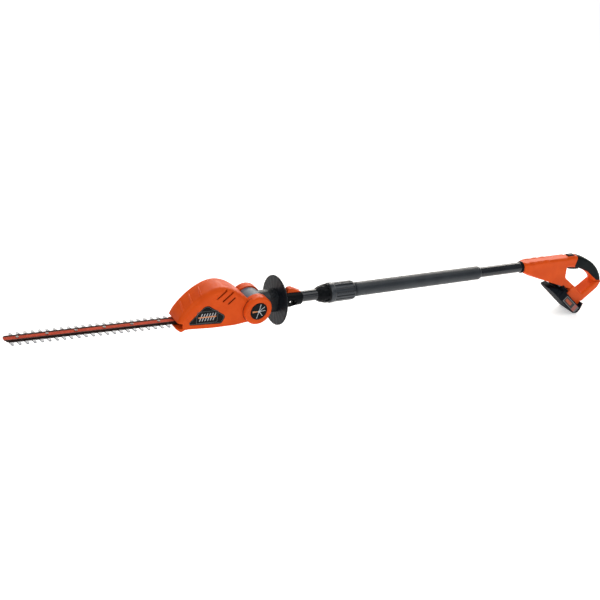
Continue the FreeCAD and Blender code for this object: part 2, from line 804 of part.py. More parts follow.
def pole():
    radius = size("pole_radius")
    bore = size("pole_bore")
    front = size("pole_front")
    joint = size("pole_joint")
    rear = size("pole_rear")
    spigot = bore - size("slide_gap")
    lead = size("lead_radius")
    spigot_rear = size("spigot_rear")
    front_tube = turned("front_tube", ring(front, joint, bore, radius))
    rear_tube = turned("rear_tube", ring(joint + size("joint_gap"), rear, bore, radius))
    plug = turned("pole_spigot", ring(size("spigot_front"), spigot_rear, spigot - size("spigot_wall"), spigot))
    front_lead = turned("front_lead", ring(front + 2, spigot_rear - 22, 0.0, lead))
    front_plug = turned("lead_plug", [(spigot_rear - 22, 0.0), (spigot_rear - 1, 0.0),
                                      (spigot_rear - 1, 6.0), (spigot_rear - 4, 9.0), (spigot_rear - 22, 9.0)])
    socket = turned("lead_socket", ring(spigot_rear + 1, spigot_rear + 24, 0.0, 9.5))
    rear_lead = turned("rear_lead", ring(spigot_rear + 24, rear + 40, 0.0, lead))
    foam = turned("foam_grip", ring(size("foam_front"), size("foam_rear"), radius, size("foam_radius")))
    soften(foam, 2.0, lambda edge: abs(edge.BoundBox.ZMax - number("foam_radius")) < 1e-3
           and edge.BoundBox.XLength < 1e-3)
    return [front_tube, rear_tube, plug, front_lead, front_plug, socket, rear_lead, foam]


def collar():
    """Fluted nose cone on the front tube and the ribbed sleeve that turns behind it."""
    radius = size("pole_radius")
    cone = turned("collar_nose", [(size("cone_front"), radius), (size("cone_rear"), radius),
                                  (size("cone_rear"), size("cone_base")),
                                  (size("cone_rear") - 12, size("cone_base") - 1),
                                  (size("cone_front") + 9, size("cone_nose") + 4),
                                  (size("cone_front") + 3, size("cone_nose") + 0.5),
                                  (size("cone_front"), size("cone_nose") - 1)])
    flute = cut_out(cone, "top", [rectangle(size("cone_front") + 11, size("cone_rear") - 6, -4.2, 4.2)],
                    size("cone_base") - 3.4, size("cone_base") + 5)
    repeat_round(cone, [flute], 10.0)
    front = size("cone_rear") + 0.6
    rear = size("sleeve_rear")
    outer = size("sleeve_radius")
    bore = radius + 0.1
    sleeve = turned("collar_sleeve", [(front, bore), (184.0, bore), (184.0, bore + 5.5), (210.0, bore + 5.5),
                                      (210.0, bore), (rear, bore), (rear, outer - 4), (rear - 2, outer - 1.5),
                                      (rear - 6, outer - 0.5), (front + 14, outer - 0.5), (front + 12, outer + 1),
                                      (front + 2, outer + 1), (front, outer - 1)])
    groove = cut_out(sleeve, "top", [rectangle(front + 16, rear - 5, -1.8, 1.8)], outer - 3.0, outer + 5)
    repeat_round(sleeve, [groove], size("sleeve_flutes"))
    collet = turned("lock_collet", ring(186.0, 204.0, radius + size("running_gap"), radius + 4.6))
    return [cone, sleeve, collet]


# --------------------------------------------------------------------------- rear handle

def slope_point(along_slope, above):
    """Place in the pole's frame from distances along and above the battery's sloping base."""
    angle = math.radians(number("slope"))
    return (number("slope_along") + along_slope * math.cos(angle) + above * math.sin(angle),
            number("slope_height") - along_slope * math.sin(angle) + above * math.cos(angle))


def front_outline():
    top = number("handle_top")
    step = slope_point(74.3, 30.3)
    foot = slope_point(74.3, 22.5)
    seam = slope_point(116, 30.3)
    return rounded_outline([(number("handle_front"), 18.5, 0), (932, top, 60), (1068, top, 0), (1070, -26, 6),
                            (1073, -51, 16), (1132, -93.5, 3), (*seam, 0), (*step, 0), (*foot, 0),
                            (1042, -86, 60), (1003, -73, 60), (number("handle_front") + 5, -16, 0)])


def arm_outline():
    start = slope_point(112, 30.3)
    end = slope_point(188.5, 30.3)
    inner_heel = slope_point(188.7, 49.5)
    heel = slope_point(197, 52)
    return rounded_outline([(*start, 0), (*end, 0), (*inner_heel, 0), (*heel, 0), (1227, -107, 25),
                            (1240, -82, 0), (1212, -84, 0), (1165.5, -118, 5), (1118, -83.1, 0)])


GRIP_OUTER = ((1058, 19.4), (1084, 20.2), (1108, 19.3), (1140, 10.6), (1173, -4.4), (1206, -27), (1232, -57),
              (1245, -88), (1236, -112))
GRIP_INNER = ((1212, -100), (1209, -84), (1196, -65), (1170, -45), (1140, -30), (1110, -22), (1058, -20))


def grip_outline(inset):
    """Curved upper grip, with its two curves drawn in by a given amount."""
    outer = drawn_in([Vector(along, 0, up) for along, up in GRIP_OUTER], inset)
    inner = drawn_in([Vector(along, 0, up) for along, up in GRIP_INNER], inset)
    back, front = Part.BSplineCurve(), Part.BSplineCurve()
    back.interpolate(outer)
    front.interpolate(inner)
    return Part.Wire([back.toShape(), Part.LineSegment(outer[-1], inner[0]).toShape(),
                      front.toShape(), Part.LineSegment(inner[-1], outer[0]).toShape()])


def grip_solid(inset):
    half = number("grip_half") - inset
    solid = slab(grip_outline(inset), -half, half)
    curved = [edge for edge in solid.Edges if isinstance(edge.Curve, Part.BSplineCurve)]
    return solid.makeFillet(11 - inset, curved)


RUBBER_REGION = [(1119, 45, 0), (1106, -12, 4), (1116, -27, 4), (1146, -31, 8), (1174, -43, 8),
                 (1202, -64, 8), (1220, -78, 4), (1262, -81, 0), (1262, 45, 0)]


def sloped(shape):
    """Turn a shape drawn in the battery's frame into the pole's frame."""
    shape.Placement = Placement(Vector(number("slope_along"), 0, number("slope_height")),
                                Rotation(Vector(0, 1, 0), number("slope")))
    return shape


def handle_screws():
    front = number("front_half")
    arm = number("arm_half")
    places = [(935, front, -24), (1050, front, 6), (1046, front, -66), (1150, arm, -130), (1198, arm, -116)]
    fasteners = feature("handle_screws", screws(places, 3.6, 2.4, 1.7, 16.0))
    return fasteners, screw_wells(places, 3.6, 2.4)


def handle_nose(solid):
    """Narrow the casing's front, seen from above, towards the tube."""
    front = number("handle_front")
    corners = [(front - 5, 17.6), (front + 48, 24.0), (1400, 60.0), (1400, -60.0), (front + 48, -24.0),
               (front - 5, -17.6)]
    face = Part.Face(Part.makePolygon([Vector(along, across, -220) for along, across in corners + corners[:1]]))
    funnel = Part.makeCone(19.6, 19.6 + 0.35 * 600, 600, Vector(front, 0, 0), Vector(1, 0, 0))
    return solid.common(face.extrude(Vector(0, 0, 320))).common(funnel)


def handle_outer():
    half = number("front_half")
    front = soften_sides(slab(front_outline(), -half, half), 9.0, half,
                         lambda middle: middle.x < 1064.5 and middle.z > 18)
    front = soften_sides(front, 6.0, half, lambda middle: middle.x < 1064.5 and middle.z < -19)
    front = handle_nose(front)
    arm = number("arm_half")
    rear = soften_sides(slab(arm_outline(), -arm, arm), 6.0, arm,
                        lambda middle: middle.x > 1128 and middle.z < -83.5 and middle.z > -140)
    return front.fuse([grip_solid(0.0), rear])


def handle_hollows():
    """Everything that is empty inside the closed handle."""
    inner = slab(rounded_outline([(968, 16.2, 4), (1058, 16.2, 4), (1062, -22, 6), (1064, -54, 10), (1090, -82, 3),
                                  (1080, -86, 3), (1040, -76, 6), (1004, -65, 6), (968, -48, 4)]), -17, 17)
    tube = Part.makeCylinder(number("pole_radius"), 96, Vector(875, 0, 0), Vector(1, 0, 0))
    trigger = [box((1078.5, 1139.5), (-8.4, 8.4), (-48, -2)), box((1104, 1131), (-8.4, 8.4), (-10, 9)),
               box((1078.5, 1104), (-8.4, 8.4), (-10, 1))]
    lock_off = box((1075.5, 1103.5), (-8.2, 8.2), (7, 60))
    tongue = number("tongue_half") + 0.8
    slot = sloped(box((72, 230), (-tongue, tongue), (28, number("tongue_height") + 1.0)))
    contacts = sloped(box((59, 73), (-17, 17), (30, number("tongue_height") + 1.0)))
    return [inner, tube, lock_off, slot, contacts] + trigger


def handle_shells():
    outer = handle_outer()
    region = slab(rounded_outline(RUBBER_REGION), -60, 60)
    rubber = grip_solid(0.0).cut(grip_solid(number("rubber_thick"))).common(region)
    fasteners, wells = handle_screws()
    shell = outer.cut(rubber).cut(handle_hollows() + [fasteners.Shape] + wells)
    halves = []
    for name, across in (("handle_shell_near", (-70, 0)), ("handle_shell_far", (0, 70))):
        halves.append(feature(name, largest(shell.common(box((800, 1400), across, (-260, 80))))))
    rubber = largest(rubber.cut(handle_hollows()[2:]))
    return outer, halves + [feature("grip_overmould", rubber), fasteners]


def controls():
    """Trigger, switch and lock-off button with their springs."""
    lever = slab(rounded_outline([(1081, -12, 3), (1096, -6, 4), (1133, -14, 3), (1136, -31, 3), (1112, -30, 8),
                                  (1090, -26, 6), (1081.5, -20, 3)]), -7.2, 7.2)
    trigger = feature("trigger", lever.cut(disc(1087, -13, 1.5 + number("running_gap"), -20, 20)))
    pin = crosswise("trigger_pin", 1087.0, -13.0, 1.5, -8.3, 8.3)
    spring = feature("trigger_spring", coil(3.0, 0.5, 6.4, 3, Vector(1118, 0, -10.6), Vector(0, 0, 1)))
    switch = block("power_switch", (1106.0, 1129.5), (-8.2, 8.2), (-4.0, 8.8))
    button = block("lock_off_button", (1077.0, 1102.0), (-7.4, 7.4), (15.0, 23.4))
    soften(button, 2.5, lambda edge: edge.BoundBox.ZMin > 23.3)
    button_spring = feature("lock_off_spring", coil(4.0, 0.5, 7.8, 3, Vector(1089.5, 0, 7.1), Vector(0, 0, 1)))
    return [trigger, pin, spring, switch, button, button_spring]


def handle_fittings(outer):
    """Ring at the handle's mouth, the cradle under it and the battery contacts."""
    radius = number("pole_radius")
    front = number("handle_front")
    seal = turned("handle_ring", [(front - 5, radius), (front, radius), (front, radius + 3.0),
                                  (front - 3, radius + 2.8), (front - 5, radius + 1.6)])
    half = number("pack_half") - 1.0
    length = number("cradle_length")
    wedge = slab(rounded_outline([(29, 0, 0), (length, 0, 0), (length, 23.5, 0), (50, 17.5, 10), (34, 6, 3)]),
                 -half, half)
    wedge = soften_sides(wedge, 3.0, half, lambda middle: middle.z < 0.01 and 12 < middle.x < length - 1)
    corners = [(20, 22), (32, 24), (62, half + 1), (80, half + 1), (80, -half - 1), (62, -half - 1),
               (32, -24), (20, -22)]
    plan = Part.Face(Part.makePolygon([Vector(along, across, -5) for along, across in corners + corners[:1]]))
    wedge = wedge.common(plan.extrude(Vector(0, 0, 60)))
    cradle = feature("battery_cradle", sloped(wedge).cut(outer))
    block_shape = sloped(box((60, 70), (-16, 16), (30.6, number("tongue_height"))))
    contact_block = feature("contact_block", block_shape)
    blades_shape = [sloped(box((70, 85), (y - 0.4, y + 0.4), (33.5, 38.5))) for y in (-11, 0, 11)]
    contact_blades = feature("contact_blades", Part.makeCompound(blades_shape))
    return [seal, cradle, contact_block, contact_blades]


# ------------------------------------------------------------------------- battery pack

def battery():
    half = number("pack_half")
    front, rear = number("pack_front"), number("pack_rear")
    height = number("pack_height")
    tongue = number("tongue_half")
    split = number("pack_split")
    profile = rounded_outline([(front, 0, 0), (rear - 15, 0, 8), (rear - 3.5, 6.5, 8), (rear + 0.5, 16, 8),
                               (rear + 0.5, 27, 5), (rear - 7.5, 47.5, 0), (rear - 11.5, 46, 0),
                               (rear - 11.5, height, 0), (front, height, 0)])
    whole = soften_sides(slab(profile, -half, half), 4.0, half,
                         lambda middle: middle.z < 26 and middle.x > front + 1)
    whole = whole.fuse(box((front + 1, 150), (-tongue, tongue), (height - 2, number("tongue_height"))))
    cells_space = box((80, 178), (-half + 3.2, half - 3.2), (3, 26))
    terminal_slots = [box((front - 1, 88), (y - 0.9, y + 0.9), (32.5, 39.5)) for y in (-11, 0, 11)]
    button_space = box((184, 230), (-12, 12), (18, 28))
    whole = whole.cut([cells_space, button_space] + terminal_slots)
    plate = rounded_outline([(102, 3.5, 2), (rear - 14, 3.5, 3), (rear - 11, 26.5, 3), (105, 26.5, 2)])
    plates = [slab(plate, *across) for across in ((-half - 0.3, -half + 0.6), (half - 0.6, half + 0.3))]
    whole = whole.cut(plates)
    lower = whole.common(box((0, 300), (-60, 60), (-20, split)))
    upper = whole.common(box((0, 300), (-60, 60), (split, 90)))
    radius, pitch = number("cell_radius"), number("cell_pitch")
    length = number("cell_length")
    cells = [disc(80.4 + radius + i * pitch, 14.5, radius, -length / 2, length / 2) for i in range(5)]
    button = box((189.2, 203.5), (-11.4, 11.4), (18.6, 27.4))
    outer_edges = [edge for edge in button.Edges if edge.BoundBox.XMin > 203.4]
    spring = coil(3.0, 0.5, 5.0, 3, Vector(184.1, 0, 23), Vector(1, 0, 0))
    return [feature("pack_lower_case", lower), feature("pack_upper_case", upper),
            feature("battery_cells", Part.makeCompound(cells)),
            feature("pack_side_plates", Part.makeCompound(plates)),
            feature("pack_release_button", button.makeFillet(1.5, outer_edges)),
            feature("pack_release_spring", spring)]


# ------------------------------------------------------------------- building the tool

def build_head():
    badges = head_badges()
    shells = head_shells(badges)
    half = number("head_half")
    places = [(along, half - 0.2, up) for along, up in HEAD_SCREWS]
    fasteners = feature("head_screws", screws(places, 3.4, 2.2, 1.6, 14.0))
    wells = screw_wells(places, 3.4, 2.2)
    for shell in shells:
        shell.Shape = largest(shell.Shape.cut([fasteners.Shape] + wells))
    return [badges, fasteners, blade_bar()] + shells + blades() + blade_bolts() + drive() + pivot_parts()


def build_pole():
    outer, shells = handle_shells()
    bushes = new_body("pivot_bush")
    pivot = size("pivot_along")
    extrude(bushes, "side", [(pivot, 0.0, size("bush_radius")),
                             (pivot, 0.0, size("pivot_shaft_radius") + size("running_gap"))],
            -size("drum_half"), size("drum_half"))
    return ([knuckle(), bushes, guard_disc(), coupler()] + latch_parts() + pole() + collar() + shells
            + controls() + handle_fittings(outer))


def settle(pieces, kind):
    """Place every piece from the sheet: along the pole, tilted with the head, or on the slope."""
    for piece in pieces:
        piece.Placement = Placement(Vector(0, 0, 0), Rotation(Vector(0, 1, 0), 1.0))
        shift, lift = size("shift_along").text, size("lift").text
        if kind == "pole":
            angle, along, up = "0", shift, lift
        elif kind == "head":
            angle = size("head_pitch").text
            pivot = size("pivot_along").text
            along = f"{shift} + {pivot} * (1 - cos({angle} * 1 deg))"
            up = f"{lift} + {pivot} * sin({angle} * 1 deg)"
        else:
            angle = size("slope").text
            along = f"{shift} + {size('slope_along').text}"
            up = f"{lift} + {size('slope_height').text}"
        piece.setExpression(".Placement.Rotation.Angle", angle)
        piece.setExpression(".Placement.Base.x", along)
        piece.setExpression(".Placement.Base.z", up)


def whole_box(pieces):
    bounds = FreeCAD.BoundBox()
    for piece in pieces:
        bounds.add(piece.Shape.optimalBoundingBox(False, False))
    return bounds


def check(pieces):
    faults = [f"{item.Label}: {item.State}" for item in document.Objects
              if "Invalid" in item.State or "Error" in item.State]
    faults += [f"{piece.Label}: no valid shape" for piece in pieces
               if piece.Shape.isNull() or not piece.Shape.isValid()]
    if faults:
        raise ValueError("; ".join(faults))


def main():
    head = build_head()
    along_pole = build_pole()
    pack = battery()
    settle(head, "head")
    settle(along_pole, "pole")
    settle(pack, "pack")
    pieces = head + along_pole + pack
    document.recompute()
    bounds = whole_box(pieces)
    row_of = {alias: row for row, alias in enumerate(DIMENSIONS, start=1)}
    sheet.set(f"A{row_of['shift_along']}", repr(-(bounds.XMin + bounds.XMax) / 2))
    sheet.set(f"A{row_of['lift']}", repr(-bounds.ZMin))
    document.recompute()
    check(pieces)
    os.makedirs("parts", exist_ok=True)
    for piece in pieces:
        piece.Shape.exportStep(f"parts/{piece.Label}.step")
    bounds = whole_box(pieces)
    print(len(pieces), "pieces; size", [round(value, 2) for value in
          (bounds.XLength, bounds.YLength, bounds.ZLength)],
          "shift", sheet.get("shift_along"), "lift", sheet.get("lift"))


main()
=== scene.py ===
import bpy
import bmesh
import math
from mathutils import Matrix, Vector
from mathutils.bvhtree import BVHTree


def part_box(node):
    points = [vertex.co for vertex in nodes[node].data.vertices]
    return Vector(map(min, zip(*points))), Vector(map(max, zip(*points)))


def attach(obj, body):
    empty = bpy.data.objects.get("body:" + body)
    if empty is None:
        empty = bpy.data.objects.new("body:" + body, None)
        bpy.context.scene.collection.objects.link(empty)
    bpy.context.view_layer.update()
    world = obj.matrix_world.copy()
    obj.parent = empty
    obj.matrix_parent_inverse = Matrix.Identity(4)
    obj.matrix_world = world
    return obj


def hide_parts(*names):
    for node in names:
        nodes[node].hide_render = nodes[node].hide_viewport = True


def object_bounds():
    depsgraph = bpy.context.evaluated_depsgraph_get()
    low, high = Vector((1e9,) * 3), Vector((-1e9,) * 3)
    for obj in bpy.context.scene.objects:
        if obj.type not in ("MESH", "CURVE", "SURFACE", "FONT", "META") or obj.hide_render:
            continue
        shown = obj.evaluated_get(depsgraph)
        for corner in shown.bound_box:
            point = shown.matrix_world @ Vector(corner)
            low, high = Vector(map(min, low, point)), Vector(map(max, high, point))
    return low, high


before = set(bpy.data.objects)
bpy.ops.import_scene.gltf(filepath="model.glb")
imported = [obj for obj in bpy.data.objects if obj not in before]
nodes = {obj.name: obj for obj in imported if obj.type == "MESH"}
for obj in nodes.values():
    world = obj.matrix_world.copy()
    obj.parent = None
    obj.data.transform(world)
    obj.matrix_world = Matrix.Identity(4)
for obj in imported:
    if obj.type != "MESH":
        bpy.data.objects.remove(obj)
cad_box = [list(corner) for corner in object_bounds()]

# --------------------------------------------------------------------------- frames of reference

tube_low, tube_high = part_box("front_tube")
AXIS = Vector((tube_low[0] - 0.060, 0.0, (tube_low[2] + tube_high[2]) / 2))
shaft_low, shaft_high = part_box("pivot_shaft")
PIVOT = Vector(((shaft_low[0] + shaft_high[0]) / 2, 0.0, (shaft_low[2] + shaft_high[2]) / 2))
TILT = math.radians(1.46)
SLOPE = math.radians(39.3)
PIVOT_X = -77.15
PACK_X, PACK_Z = 989, -64


def pole(x, y, z):
    """A place along the pole, from millimetres."""
    return AXIS + Vector((x, y, z)) * 0.001


def head(x, y, z):
    """A place on the tilted head, from millimetres."""
    x -= PIVOT_X
    return PIVOT + Vector((x * math.cos(TILT) + z * math.sin(TILT), y,
                           z * math.cos(TILT) - x * math.sin(TILT))) * 0.001


def pack(x, y, z):
    """A place on the battery, along and above its sloping base, from millimetres."""
    return pole(PACK_X + x * math.cos(SLOPE) + z * math.sin(SLOPE), y,
                PACK_Z - x * math.sin(SLOPE) + z * math.cos(SLOPE))


# ------------------------------------------------------------------------------------- materials

class Shader:
    """A node material, built a node at a time."""

    def __init__(self, name, roughness, metallic=0.0, coat=0.0, coat_roughness=0.1, sheen=0.0, specular=0.5):
        self.material = bpy.data.materials.new(name)
        self.material.use_nodes = True
        self.tree = self.material.node_tree
        self.shader = self.tree.nodes["Principled BSDF"]
        for socket, value in (("Roughness", roughness), ("Metallic", metallic), ("Coat Weight", coat),
                              ("Coat Roughness", coat_roughness), ("Sheen Weight", sheen),
                              ("Specular IOR Level", specular)):
            self.shader.inputs[socket].default_value = value
        self.place = self.node("ShaderNodeTexCoord").outputs["Object"]

    def node(self, kind, **settings):
        made = self.tree.nodes.new(kind)
        for key, value in settings.items():
            setattr(made, key, value)
        return made

    def link(self, source, target):
        self.tree.links.new(source, target)

    def shifted(self, origin, turn=0.0):
        """Coordinates in millimetres from an origin, turned back about Y."""
        mapping = self.node("ShaderNodeMapping", vector_type="TEXTURE")
        mapping.inputs["Location"].default_value = origin
        mapping.inputs["Rotation"].default_value = (0.0, turn, 0.0)
        mapping.inputs["Scale"].default_value = (0.001, 0.001, 0.001)
        self.link(self.place, mapping.inputs["Vector"])
        split = self.node("ShaderNodeSeparateXYZ")
        self.link(mapping.outputs["Vector"], split.inputs[0])
        return split.outputs

    def math(self, operation, first, second=None, third=None):
        made = self.node("ShaderNodeMath", operation=operation)
        for socket, value in zip(made.inputs, (first, second, third)):
            if value is None:
                continue
            if isinstance(value, (int, float)):
                socket.default_value = value
            else:
                self.link(value, socket)
        return made.outputs[0]

    def step(self, value, low, high):
        """0 below low and 1 above high, or the other way round if low is the larger."""
        made = self.node("ShaderNodeMapRange", interpolation_type="SMOOTHSTEP")
        made.inputs["From Min"].default_value = min(low, high)
        made.inputs["From Max"].default_value = max(low, high)
        if low > high:
            made.inputs["To Min"].default_value = 1.0
            made.inputs["To Max"].default_value = 0.0
        self.link(value, made.inputs["Value"])
        return made.outputs[0]

    def noise(self, scale, detail=3.0, stretch=(1, 1, 1)):
        mapping = self.node("ShaderNodeMapping")
        mapping.inputs["Scale"].default_value = stretch
        self.link(self.place, mapping.inputs["Vector"])
        made = self.node("ShaderNodeTexNoise")
        made.inputs["Scale"].default_value = scale
        made.inputs["Detail"].default_value = detail
        self.link(mapping.outputs["Vector"], made.inputs["Vector"])
        return made.outputs["Fac"]

    def mix(self, fac, first, second):
        made = self.node("ShaderNodeMix", data_type="RGBA")
        for socket, value in ((made.inputs[0], fac), (made.inputs[6], first), (made.inputs[7], second)):
            if isinstance(value, (tuple, list)):
                socket.default_value = (*value, 1.0)
            elif isinstance(value, (int, float)):
                socket.default_value = value
            else:
                self.link(value, socket)
        return made.outputs[2]

    def colour(self, value):
        self.link(value, self.shader.inputs["Base Color"])

    def bump(self, height, strength, distance=0.0002, after=None):
        made = self.node("ShaderNodeBump")
        made.inputs["Strength"].default_value = strength
        made.inputs["Distance"].default_value = distance
        self.link(height, made.inputs["Height"])
        if after is not None:
            self.link(after, made.inputs["Normal"])
        self.link(made.outputs["Normal"], self.shader.inputs["Normal"])
        return made.outputs["Normal"]

    def mottle(self, dark, light, scale=30.0):
        """Base colour that drifts a little between two tones."""
        tone = self.mix(self.step(self.noise(scale), 0.3, 0.7), dark, light)
        self.colour(tone)
        return tone

    def vary_roughness(self, scale, low, high, stretch=(1, 1, 1)):
        made = self.node("ShaderNodeMapRange")
        made.inputs["To Min"].default_value = low
        made.inputs["To Max"].default_value = high
        self.link(self.noise(scale, 4.0, stretch), made.inputs["Value"])
        self.link(made.outputs[0], self.shader.inputs["Roughness"])


def grained(name, dark, light, roughness, grain=2500.0, strength=0.15, **more):
    """Moulded plastic or rubber: faint drift in colour and gloss, and a fine grain."""
    made = Shader(name, roughness, **more)
    made.mottle(dark, light)
    made.vary_roughness(60.0, roughness * 0.85, roughness * 1.15)
    made.bump(made.noise(grain, 2.0), strength, 0.00005)
    return made


def metal(name, dark, light, roughness, stretch=(1, 8, 8), strength=0.2):
    """Metal with fine drawn or ground lines."""
    made = Shader(name, roughness, metallic=1.0)
    made.mottle(dark, light, 120.0)
    made.vary_roughness(400.0, roughness * 0.7, roughness * 1.3, stretch)
    made.bump(made.noise(900.0, 3.0, stretch), strength, 0.00003)
    return made


ORANGE, ORANGE_DARK = (0.70, 0.084, 0.010), (0.64, 0.070, 0.008)
orange = grained("orange_plastic", ORANGE_DARK, ORANGE, 0.38, strength=0.12, specular=0.10)
orange.shader.inputs["Specular Tint"].default_value = (1.0, 0.80, 0.55, 1.0)
matte_black = grained("matte_black_plastic", (0.004, 0.006, 0.009), (0.008, 0.010, 0.014), 0.55,
                      specular=0.02)
black = grained("black_plastic", (0.004, 0.005, 0.006), (0.007, 0.008, 0.009), 0.26, specular=0.06)
charcoal = grained("charcoal_plastic", (0.008, 0.011, 0.015), (0.013, 0.017, 0.022), 0.38, specular=0.10)
# painted shade: near-black material for the bead in the groove beside each lobe and the strips along the vent
# slots
dark = grained("painted_shade", (0.003, 0.003, 0.003), (0.006, 0.006, 0.006), 0.6, specular=0.2)
dark_steel = metal("dark_steel", (0.10, 0.09, 0.09), (0.18, 0.17, 0.16), 0.35)
border_grey = grained("border_print", (0.09, 0.10, 0.10), (0.13, 0.14, 0.14), 0.4)
silver = grained("silver_print", (0.42, 0.43, 0.45), (0.52, 0.53, 0.55), 0.35)
pale_orange = grained("pale_orange_print", (0.60, 0.20, 0.06), (0.66, 0.24, 0.08), 0.4)
grey = grained("grey_plastic", (0.13, 0.15, 0.17), (0.17, 0.19, 0.21), 0.45)
sleeve_grey = grained("sleeve_plastic", (0.016, 0.021, 0.027), (0.024, 0.030, 0.038), 0.30, specular=0.45)
rubber = grained("overmould_rubber", (0.004, 0.007, 0.008), (0.007, 0.011, 0.012), 0.50, 1800.0, 0.3,
                 specular=0.05)
steel = metal("bright_steel", (0.45, 0.45, 0.46), (0.60, 0.60, 0.61), 0.28)
brass = metal("brass", (0.60, 0.42, 0.16), (0.75, 0.55, 0.24), 0.30)
cable = grained("cable_sheath", (0.012, 0.012, 0.012), (0.02, 0.02, 0.02), 0.55)
wrap = grained("cell_wrap", (0.03, 0.10, 0.22), (0.05, 0.14, 0.28), 0.30)

tube_paint = Shader("tube_black", 0.22, coat=0.3, coat_roughness=0.10, specular=0.25)
tube_paint.mottle((0.009, 0.011, 0.015), (0.014, 0.017, 0.022), 12.0)
tube_paint.vary_roughness(80.0, 0.16, 0.26, (0.2, 1, 1))
tube_paint.bump(tube_paint.noise(500.0, 3.0, (0.15, 1, 1)), 0.08, 0.00004)

foam = Shader("foam", 0.42, specular=0.45)
foam.mottle((0.011, 0.016, 0.022), (0.018, 0.024, 0.031), 25.0)
foam.vary_roughness(90.0, 0.38, 0.50)
foam.bump(foam.noise(2600.0, 4.0), 0.35, 0.0001)

knuckle_look = Shader("knuckle_plastic", 0.42, specular=0.35)
neck_x, _, neck_z = knuckle_look.shifted(PIVOT)
# painted highlight: the top of the knuckle behind the pivot is coloured a lighter grey, standing in for light
# falling on the black plastic
top_painted_highlight = knuckle_look.math("MULTIPLY", knuckle_look.step(neck_z, 17.0, 24.0),
                             knuckle_look.step(neck_x, 20.0, 16.0))
drift = knuckle_look.step(knuckle_look.noise(40.0), 0.3, 0.7)
neck_black = knuckle_look.mix(drift, (0.010, 0.013, 0.016), (0.016, 0.020, 0.024))
neck_painted_highlight = knuckle_look.mix(drift, (0.10, 0.12, 0.15), (0.14, 0.16, 0.19))
knuckle_look.colour(knuckle_look.mix(top_painted_highlight, neck_black, neck_painted_highlight))
knuckle_look.vary_roughness(60.0, 0.36, 0.50)
knuckle_look.bump(knuckle_look.noise(2500.0, 2.0), 0.15, 0.00005)

disc_look = Shader("disc_plastic", 0.34, specular=0.10)
_, disc_y, disc_z = disc_look.shifted(AXIS)
facets = disc_look.math("SINE", disc_look.math("MULTIPLY", disc_look.math("ARCTAN2", disc_z, disc_y), 20.0))
disc_look.mottle((0.006, 0.008, 0.011), (0.011, 0.014, 0.018))
disc_look.vary_roughness(50.0, 0.30, 0.42)
disc_look.bump(disc_look.step(facets, 0.0, 0.5), 0.3, 0.0006)

plate_look = Shader("label_plate", 0.38, specular=0.3)
plate_x, _, plate_z = plate_look.shifted(pack(0, 0, 0), SLOPE)


def inside(shader, value, low, high, soft=0.3):
    """1 between two limits, 0 outside."""
    return shader.math("MULTIPLY", shader.step(value, low - soft, low + soft),
                       shader.step(value, high + soft, high - soft))


panel = plate_look.math("MULTIPLY", inside(plate_look, plate_x, 107, 161), inside(plate_look, plate_z, 6, 24))
flash = plate_look.math("MULTIPLY", inside(plate_look, plate_x, 111, 148),
                        inside(plate_look, plate_z, 10, 20))
marks = plate_look.math("SINE", plate_look.math("ADD", plate_look.math("MULTIPLY", plate_x, 1.3),
                                                plate_look.math("MULTIPLY", plate_z, 0.9)))
flash = plate_look.math("MULTIPLY", flash, plate_look.step(marks, -0.5, 0.0))
waves = plate_look.math("SINE", plate_look.math("MULTIPLY", plate_x, 1.15))
band = plate_look.math("MULTIPLY", inside(plate_look, plate_x, 163, 179), plate_look.step(waves, -0.2, 0.2))
tone = plate_look.mix(plate_look.step(plate_look.noise(60.0), 0.3, 0.7),
                      (0.10, 0.10, 0.10), (0.13, 0.13, 0.13))
tone = plate_look.mix(panel, tone, (0.008, 0.007, 0.006))
tone = plate_look.mix(flash, tone, (0.60, 0.09, 0.015))
plate_look.colour(plate_look.mix(band, tone, (0.50, 0.05, 0.02)))
plate_look.vary_roughness(80.0, 0.32, 0.44)
plate_look.bump(plate_look.noise(1500.0, 2.0), 0.12, 0.00004)

bar_paint = Shader("bar_red", 0.50, specular=0.03)
_, bar_y, _ = bar_paint.shifted(PIVOT)
edge = bar_paint.step(bar_paint.math("ABSOLUTE", bar_paint.math("ADD", bar_y, 1.5)), 6.0, 8.0)
streak = bar_paint.noise(300.0, 3.0, (0.08, 1, 1))
red = bar_paint.mix(bar_paint.step(streak, 0.35, 0.65), (0.36, 0.036, 0.014), (0.50, 0.058, 0.022))
bar_paint.colour(bar_paint.mix(edge, red, (0.030, 0.010, 0.008)))
bar_paint.vary_roughness(300.0, 0.44, 0.60, (0.1, 1, 1))
bar_paint.bump(streak, 0.1, 0.00005)

tooth_steel = Shader("blade_steel", 0.35, metallic=0.25, specular=0.25)
_, tooth_y, _ = tooth_steel.shifted(PIVOT)
ground = tooth_steel.step(tooth_steel.math("ABSOLUTE", tooth_y), 18.0, 21.5)
lines = tooth_steel.noise(700.0, 3.0, (1, 0.1, 1))
bright = tooth_steel.mix(tooth_steel.step(lines, 0.3, 0.7), (0.24, 0.25, 0.27), (0.36, 0.37, 0.39))
tooth_steel.colour(tooth_steel.mix(ground, (0.018, 0.010, 0.009), bright))
tooth_steel.vary_roughness(500.0, 0.22, 0.42, (1, 0.1, 1))
tooth_steel.bump(lines, 0.2, 0.00004)

